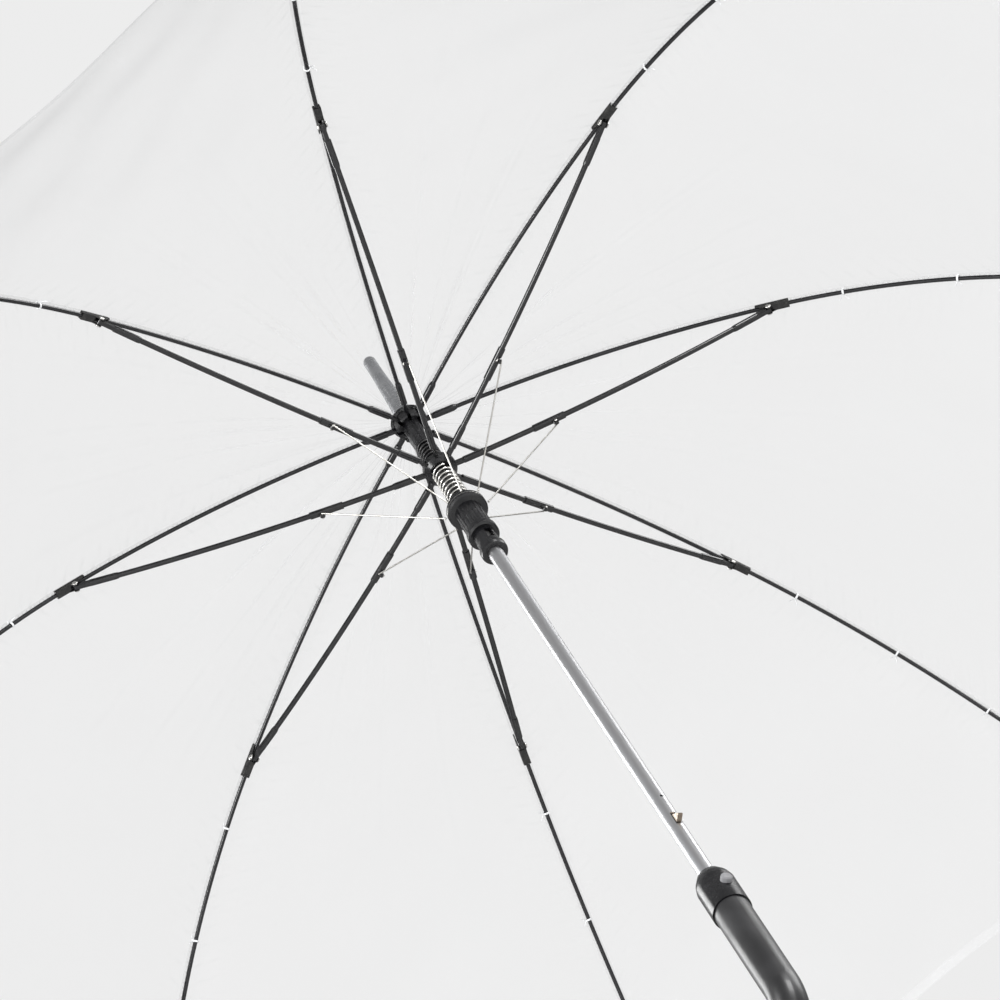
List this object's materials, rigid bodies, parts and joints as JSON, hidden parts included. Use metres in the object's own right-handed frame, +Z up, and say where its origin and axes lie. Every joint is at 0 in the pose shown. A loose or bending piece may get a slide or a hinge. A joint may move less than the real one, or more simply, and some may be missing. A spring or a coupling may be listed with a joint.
{
  "type": "stick umbrella",
  "caption": "Spring-opening stick umbrella with a clear octagonal film canopy, black ribs and stretchers on two runners, metal shaft and crook handle.",
  "frame": {"origin": "middle of the grip, on the shaft axis", "axes": "+Z up the shaft to the tip, +X the side of the release button, -X the side the crook bends to"},
  "size_m": [0.9508, 0.9508, 0.883],
  "materials": {
    "black_plastic": "moulded nylon, satin",
    "shaft_metal": "satin anodised",
    "tip_metal": "satin turned",
    "nickel_wire": "bright drawn wire",
    "nickel_spring": "nickel-plated spring wire",
    "black_spring": "blackened spring wire",
    "spring_steel": "tempered leaf",
    "link_wire": "galvanised wire",
    "rib_fibreglass": "black fibreglass, satin",
    "stretcher_black": "black fibreglass, satin",
    "knee_black": "moulded, satin",
    "clear_film": "clear soft PVC film",
    "handle_black": "moulded, fine texture",
    "button_grey": "moulded, satin",
    "cap_black": "moulded washer"
  },
  "bodies": {
    "shaft": {"shaft_tube": "shaft_metal", "crown": "black_plastic", "crown_ring": "nickel_wire", "crown_pin": "nickel_wire", "tip_ferrule": "tip_metal", "canopy_cap": "cap_black", "canopy": "clear_film", "buffer_spring": "black_spring", "handle_collar": "handle_black", "catch_pin": "nickel_wire", "crook_handle": "handle_black"},
    "upper_runner": {"upper_runner": "black_plastic", "upper_ring": "nickel_wire", "opening_spring": "nickel_spring"},
    "lower_runner": {"lower_runner": "black_plastic", "lower_ring": "nickel_wire"},
    "release_button": {"release_button": "button_grey"},
    "catch_leaf": {"catch_leaf": "spring_steel"},
    "rib_1": {"rib_1": "rib_fibreglass"},
    "outer_rib_1": {"outer_rib_1": "rib_fibreglass", "knee_bracket_1": "knee_black"},
    "stretcher_1": {"stretcher_1": "stretcher_black"},
    "link_wire_1": {"link_wire_1": "link_wire"},
    "rib_2": {"rib_2": "rib_fibreglass"},
    "outer_rib_2": {"outer_rib_2": "rib_fibreglass", "knee_bracket_2": "knee_black"},
    "stretcher_2": {"stretcher_2": "stretcher_black"},
    "link_wire_2": {"link_wire_2": "link_wire"},
    "rib_3": {"rib_3": "rib_fibreglass"},
    "outer_rib_3": {"outer_rib_3": "rib_fibreglass", "knee_bracket_3": "knee_black"},
    "stretcher_3": {"stretcher_3": "stretcher_black"},
    "link_wire_3": {"link_wire_3": "link_wire"},
    "rib_4": {"rib_4": "rib_fibreglass"},
    "outer_rib_4": {"outer_rib_4": "rib_fibreglass", "knee_bracket_4": "knee_black"},
    "stretcher_4": {"stretcher_4": "stretcher_black"},
    "link_wire_4": {"link_wire_4": "link_wire"},
    "rib_5": {"rib_5": "rib_fibreglass"},
    "outer_rib_5": {"outer_rib_5": "rib_fibreglass", "knee_bracket_5": "knee_black"},
    "stretcher_5": {"stretcher_5": "stretcher_black"},
    "link_wire_5": {"link_wire_5": "link_wire"},
    "rib_6": {"rib_6": "rib_fibreglass"},
    "outer_rib_6": {"outer_rib_6": "rib_fibreglass", "knee_bracket_6": "knee_black"},
    "stretcher_6": {"stretcher_6": "stretcher_black"},
    "link_wire_6": {"link_wire_6": "link_wire"},
    "rib_7": {"rib_7": "rib_fibreglass"},
    "outer_rib_7": {"outer_rib_7": "rib_fibreglass", "knee_bracket_7": "knee_black"},
    "stretcher_7": {"stretcher_7": "stretcher_black"},
    "link_wire_7": {"link_wire_7": "link_wire"},
    "rib_8": {"rib_8": "rib_fibreglass"},
    "outer_rib_8": {"outer_rib_8": "rib_fibreglass", "knee_bracket_8": "knee_black"},
    "stretcher_8": {"stretcher_8": "stretcher_black"},
    "link_wire_8": {"link_wire_8": "link_wire"}
  },
  "joints": [
    {"name": "rib_1_fold", "type": "hinge", "parent": "shaft", "child": "rib_1", "pos_m": [0.00831, -0.00344, 0.67], "axis": [0.3827, 0.9239, 0], "range_deg": [0, 79.3], "stiffness_Nm_per_rad": 0.6, "springref_deg": -137.51, "deforming": ["canopy", "catch_leaf"]},
    {"name": "stretcher_1_fold", "type": "hinge", "parent": "rib_1", "child": "stretcher_1", "pos_m": [0.22961, -0.09511, 0.6355], "axis": [0.3827, 0.9239, 0], "range_deg": [-158.61, 0]},
    {"name": "outer_rib_1_flex", "type": "hinge", "parent": "rib_1", "child": "outer_rib_1", "pos_m": [0.22961, -0.09511, 0.6355], "axis": [0.3827, 0.9239, 0], "range_deg": [-29.3, 0]},
    {"name": "link_wire_1_swing", "type": "hinge", "parent": "stretcher_1", "child": "link_wire_1", "pos_m": [0.07691, -0.03186, 0.6021], "axis": [0.3827, 0.9239, 0], "range_deg": [0, 35.65]},
    {"name": "rib_2_fold", "type": "hinge", "parent": "shaft", "child": "rib_2", "pos_m": [0.00831, 0.00344, 0.67], "axis": [-0.3827, 0.9239, 0], "range_deg": [0, 79.3]},
    {"name": "stretcher_2_fold", "type": "hinge", "parent": "rib_2", "child": "stretcher_2", "pos_m": [0.22961, 0.09511, 0.6355], "axis": [-0.3827, 0.9239, 0], "range_deg": [-158.61, 0]},
    {"name": "outer_rib_2_flex", "type": "hinge", "parent": "rib_2", "child": "outer_rib_2", "pos_m": [0.22961, 0.09511, 0.6355], "axis": [-0.3827, 0.9239, 0], "range_deg": [-29.3, 0]},
    {"name": "link_wire_2_swing", "type": "hinge", "parent": "stretcher_2", "child": "link_wire_2", "pos_m": [0.07691, 0.03186, 0.6021], "axis": [-0.3827, 0.9239, 0], "range_deg": [0, 35.65]},
    {"name": "rib_3_fold", "type": "hinge", "parent": "shaft", "child": "rib_3", "pos_m": [0.00344, 0.00831, 0.67], "axis": [-0.9239, 0.3827, 0], "range_deg": [0, 79.3]},
    {"name": "stretcher_3_fold", "type": "hinge", "parent": "rib_3", "child": "stretcher_3", "pos_m": [0.09511, 0.22961, 0.6355], "axis": [-0.9239, 0.3827, 0], "range_deg": [-158.61, 0]},
    {"name": "outer_rib_3_flex", "type": "hinge", "parent": "rib_3", "child": "outer_rib_3", "pos_m": [0.09511, 0.22961, 0.6355], "axis": [-0.9239, 0.3827, 0], "range_deg": [-29.3, 0]},
    {"name": "link_wire_3_swing", "type": "hinge", "parent": "stretcher_3", "child": "link_wire_3", "pos_m": [0.03186, 0.07691, 0.6021], "axis": [-0.9239, 0.3827, 0], "range_deg": [0, 35.65]},
    {"name": "rib_4_fold", "type": "hinge", "parent": "shaft", "child": "rib_4", "pos_m": [-0.00344, 0.00831, 0.67], "axis": [-0.9239, -0.3827, 0], "range_deg": [0, 79.3]},
    {"name": "stretcher_4_fold", "type": "hinge", "parent": "rib_4", "child": "stretcher_4", "pos_m": [-0.09511, 0.22961, 0.6355], "axis": [-0.9239, -0.3827, 0], "range_deg": [-158.61, 0]},
    {"name": "outer_rib_4_flex", "type": "hinge", "parent": "rib_4", "child": "outer_rib_4", "pos_m": [-0.09511, 0.22961, 0.6355], "axis": [-0.9239, -0.3827, 0], "range_deg": [-29.3, 0]},
    {"name": "link_wire_4_swing", "type": "hinge", "parent": "stretcher_4", "child": "link_wire_4", "pos_m": [-0.03186, 0.07691, 0.6021], "axis": [-0.9239, -0.3827, 0], "range_deg": [0, 35.65]},
    {"name": "rib_5_fold", "type": "hinge", "parent": "shaft", "child": "rib_5", "pos_m": [-0.00831, 0.00344, 0.67], "axis": [-0.3827, -0.9239, 0], "range_deg": [0, 79.3]},
    {"name": "stretcher_5_fold", "type": "hinge", "parent": "rib_5", "child": "stretcher_5", "pos_m": [-0.22961, 0.09511, 0.6355], "axis": [-0.3827, -0.9239, 0], "range_deg": [-158.61, 0]},
    {"name": "outer_rib_5_flex", "type": "hinge", "parent": "rib_5", "child": "outer_rib_5", "pos_m": [-0.22961, 0.09511, 0.6355], "axis": [-0.3827, -0.9239, 0], "range_deg": [-29.3, 0]},
    {"name": "link_wire_5_swing", "type": "hinge", "parent": "stretcher_5", "child": "link_wire_5", "pos_m": [-0.07691, 0.03186, 0.6021], "axis": [-0.3827, -0.9239, 0], "range_deg": [0, 35.65]},
    {"name": "rib_6_fold", "type": "hinge", "parent": "shaft", "child": "rib_6", "pos_m": [-0.00831, -0.00344, 0.67], "axis": [0.3827, -0.9239, 0], "range_deg": [0, 79.3]},
    {"name": "stretcher_6_fold", "type": "hinge", "parent": "rib_6", "child": "stretcher_6", "pos_m": [-0.22961, -0.09511, 0.6355], "axis": [0.3827, -0.9239, 0], "range_deg": [-158.61, 0]},
    {"name": "outer_rib_6_flex", "type": "hinge", "parent": "rib_6", "child": "outer_rib_6", "pos_m": [-0.22961, -0.09511, 0.6355], "axis": [0.3827, -0.9239, 0], "range_deg": [-29.3, 0]},
    {"name": "link_wire_6_swing", "type": "hinge", "parent": "stretcher_6", "child": "link_wire_6", "pos_m": [-0.07691, -0.03186, 0.6021], "axis": [0.3827, -0.9239, 0], "range_deg": [0, 35.65]},
    {"name": "rib_7_fold", "type": "hinge", "parent": "shaft", "child": "rib_7", "pos_m": [-0.00344, -0.00831, 0.67], "axis": [0.9239, -0.3827, 0], "range_deg": [0, 79.3]},
    {"name": "stretcher_7_fold", "type": "hinge", "parent": "rib_7", "child": "stretcher_7", "pos_m": [-0.09511, -0.22961, 0.6355], "axis": [0.9239, -0.3827, 0], "range_deg": [-158.61, 0]},
    {"name": "outer_rib_7_flex", "type": "hinge", "parent": "rib_7", "child": "outer_rib_7", "pos_m": [-0.09511, -0.22961, 0.6355], "axis": [0.9239, -0.3827, 0], "range_deg": [-29.3, 0]},
    {"name": "link_wire_7_swing", "type": "hinge", "parent": "stretcher_7", "child": "link_wire_7", "pos_m": [-0.03186, -0.07691, 0.6021], "axis": [0.9239, -0.3827, 0], "range_deg": [0, 35.65]},
    {"name": "rib_8_fold", "type": "hinge", "parent": "shaft", "child": "rib_8", "pos_m": [0.00344, -0.00831, 0.67], "axis": [0.9239, 0.3827, 0], "range_deg": [0, 79.3]},
    {"name": "stretcher_8_fold", "type": "hinge", "parent": "rib_8", "child": "stretcher_8", "pos_m": [0.09511, -0.22961, 0.6355], "axis": [0.9239, 0.3827, 0], "range_deg": [-158.61, 0]},
    {"name": "outer_rib_8_flex", "type": "hinge", "parent": "rib_8", "child": "outer_rib_8", "pos_m": [0.09511, -0.22961, 0.6355], "axis": [0.9239, 0.3827, 0], "range_deg": [-29.3, 0]},
    {"name": "link_wire_8_swing", "type": "hinge", "parent": "stretcher_8", "child": "link_wire_8", "pos_m": [0.03186, -0.07691, 0.6021], "axis": [0.9239, 0.3827, 0], "range_deg": [0, 35.65]},
    {"name": "upper_runner_travel", "type": "hinge", "parent": "stretcher_1", "child": "upper_runner", "pos_m": [0.00831, -0.00344, 0.601], "axis": [0.3827, 0.9239, 0], "range_deg": [0, 79.3]},
    {"name": "lower_runner_slide", "type": "slide", "parent": "upper_runner", "child": "lower_runner", "axis": [0, 0, 1], "range_m": [0, 0.04221], "deforming": ["opening_spring"]},
    {"name": "button_press", "type": "slide", "parent": "shaft", "child": "release_button", "axis": [-1, 0, 0], "range_m": [0, 0.0029], "stiffness_N_per_m": 900, "springref_m": -0.003},
    {"name": "catch_leaf_bend", "type": "hinge", "parent": "shaft", "child": "catch_leaf", "pos_m": [0, 0, -0.05], "axis": [0, -1, 0], "range_deg": [0, 1.93]}
  ],
  "couplings": [
    {"joint": "stretcher_1_fold", "follows": "rib_1_fold", "ratio": -2},
    {"joint": "outer_rib_1_flex", "follows": "rib_1_fold", "ratio": -0.36947},
    {"joint": "link_wire_1_swing", "follows": "rib_1_fold", "ratio": 0.44949},
    {"joint": "rib_2_fold", "follows": "rib_1_fold", "ratio": 1},
    {"joint": "stretcher_2_fold", "follows": "rib_1_fold", "ratio": -2},
    {"joint": "outer_rib_2_flex", "follows": "rib_1_fold", "ratio": -0.36947},
    {"joint": "link_wire_2_swing", "follows": "rib_1_fold", "ratio": 0.44949},
    {"joint": "rib_3_fold", "follows": "rib_1_fold", "ratio": 1},
    {"joint": "stretcher_3_fold", "follows": "rib_1_fold", "ratio": -2},
    {"joint": "outer_rib_3_flex", "follows": "rib_1_fold", "ratio": -0.36947},
    {"joint": "link_wire_3_swing", "follows": "rib_1_fold", "ratio": 0.44949},
    {"joint": "rib_4_fold", "follows": "rib_1_fold", "ratio": 1},
    {"joint": "stretcher_4_fold", "follows": "rib_1_fold", "ratio": -2},
    {"joint": "outer_rib_4_flex", "follows": "rib_1_fold", "ratio": -0.36947},
    {"joint": "link_wire_4_swing", "follows": "rib_1_fold", "ratio": 0.44949},
    {"joint": "rib_5_fold", "follows": "rib_1_fold", "ratio": 1},
    {"joint": "stretcher_5_fold", "follows": "rib_1_fold", "ratio": -2},
    {"joint": "outer_rib_5_flex", "follows": "rib_1_fold", "ratio": -0.36947},
    {"joint": "link_wire_5_swing", "follows": "rib_1_fold", "ratio": 0.44949},
    {"joint": "rib_6_fold", "follows": "rib_1_fold", "ratio": 1},
    {"joint": "stretcher_6_fold", "follows": "rib_1_fold", "ratio": -2},
    {"joint": "outer_rib_6_flex", "follows": "rib_1_fold", "ratio": -0.36947},
    {"joint": "link_wire_6_swing", "follows": "rib_1_fold", "ratio": 0.44949},
    {"joint": "rib_7_fold", "follows": "rib_1_fold", "ratio": 1},
    {"joint": "stretcher_7_fold", "follows": "rib_1_fold", "ratio": -2},
    {"joint": "outer_rib_7_flex", "follows": "rib_1_fold", "ratio": -0.36947},
    {"joint": "link_wire_7_swing", "follows": "rib_1_fold", "ratio": 0.44949},
    {"joint": "rib_8_fold", "follows": "rib_1_fold", "ratio": 1},
    {"joint": "stretcher_8_fold", "follows": "rib_1_fold", "ratio": -2},
    {"joint": "outer_rib_8_flex", "follows": "rib_1_fold", "ratio": -0.36947},
    {"joint": "link_wire_8_swing", "follows": "rib_1_fold", "ratio": 0.44949},
    {"joint": "upper_runner_travel", "follows": "rib_1_fold", "ratio": 1},
    {"joint": "lower_runner_slide", "follows": "rib_1_fold", "m_per_rad": 0.030493},
    {"joint": "catch_leaf_bend", "follows": "button_press", "rad_per_m": 11.628}
  ]
}
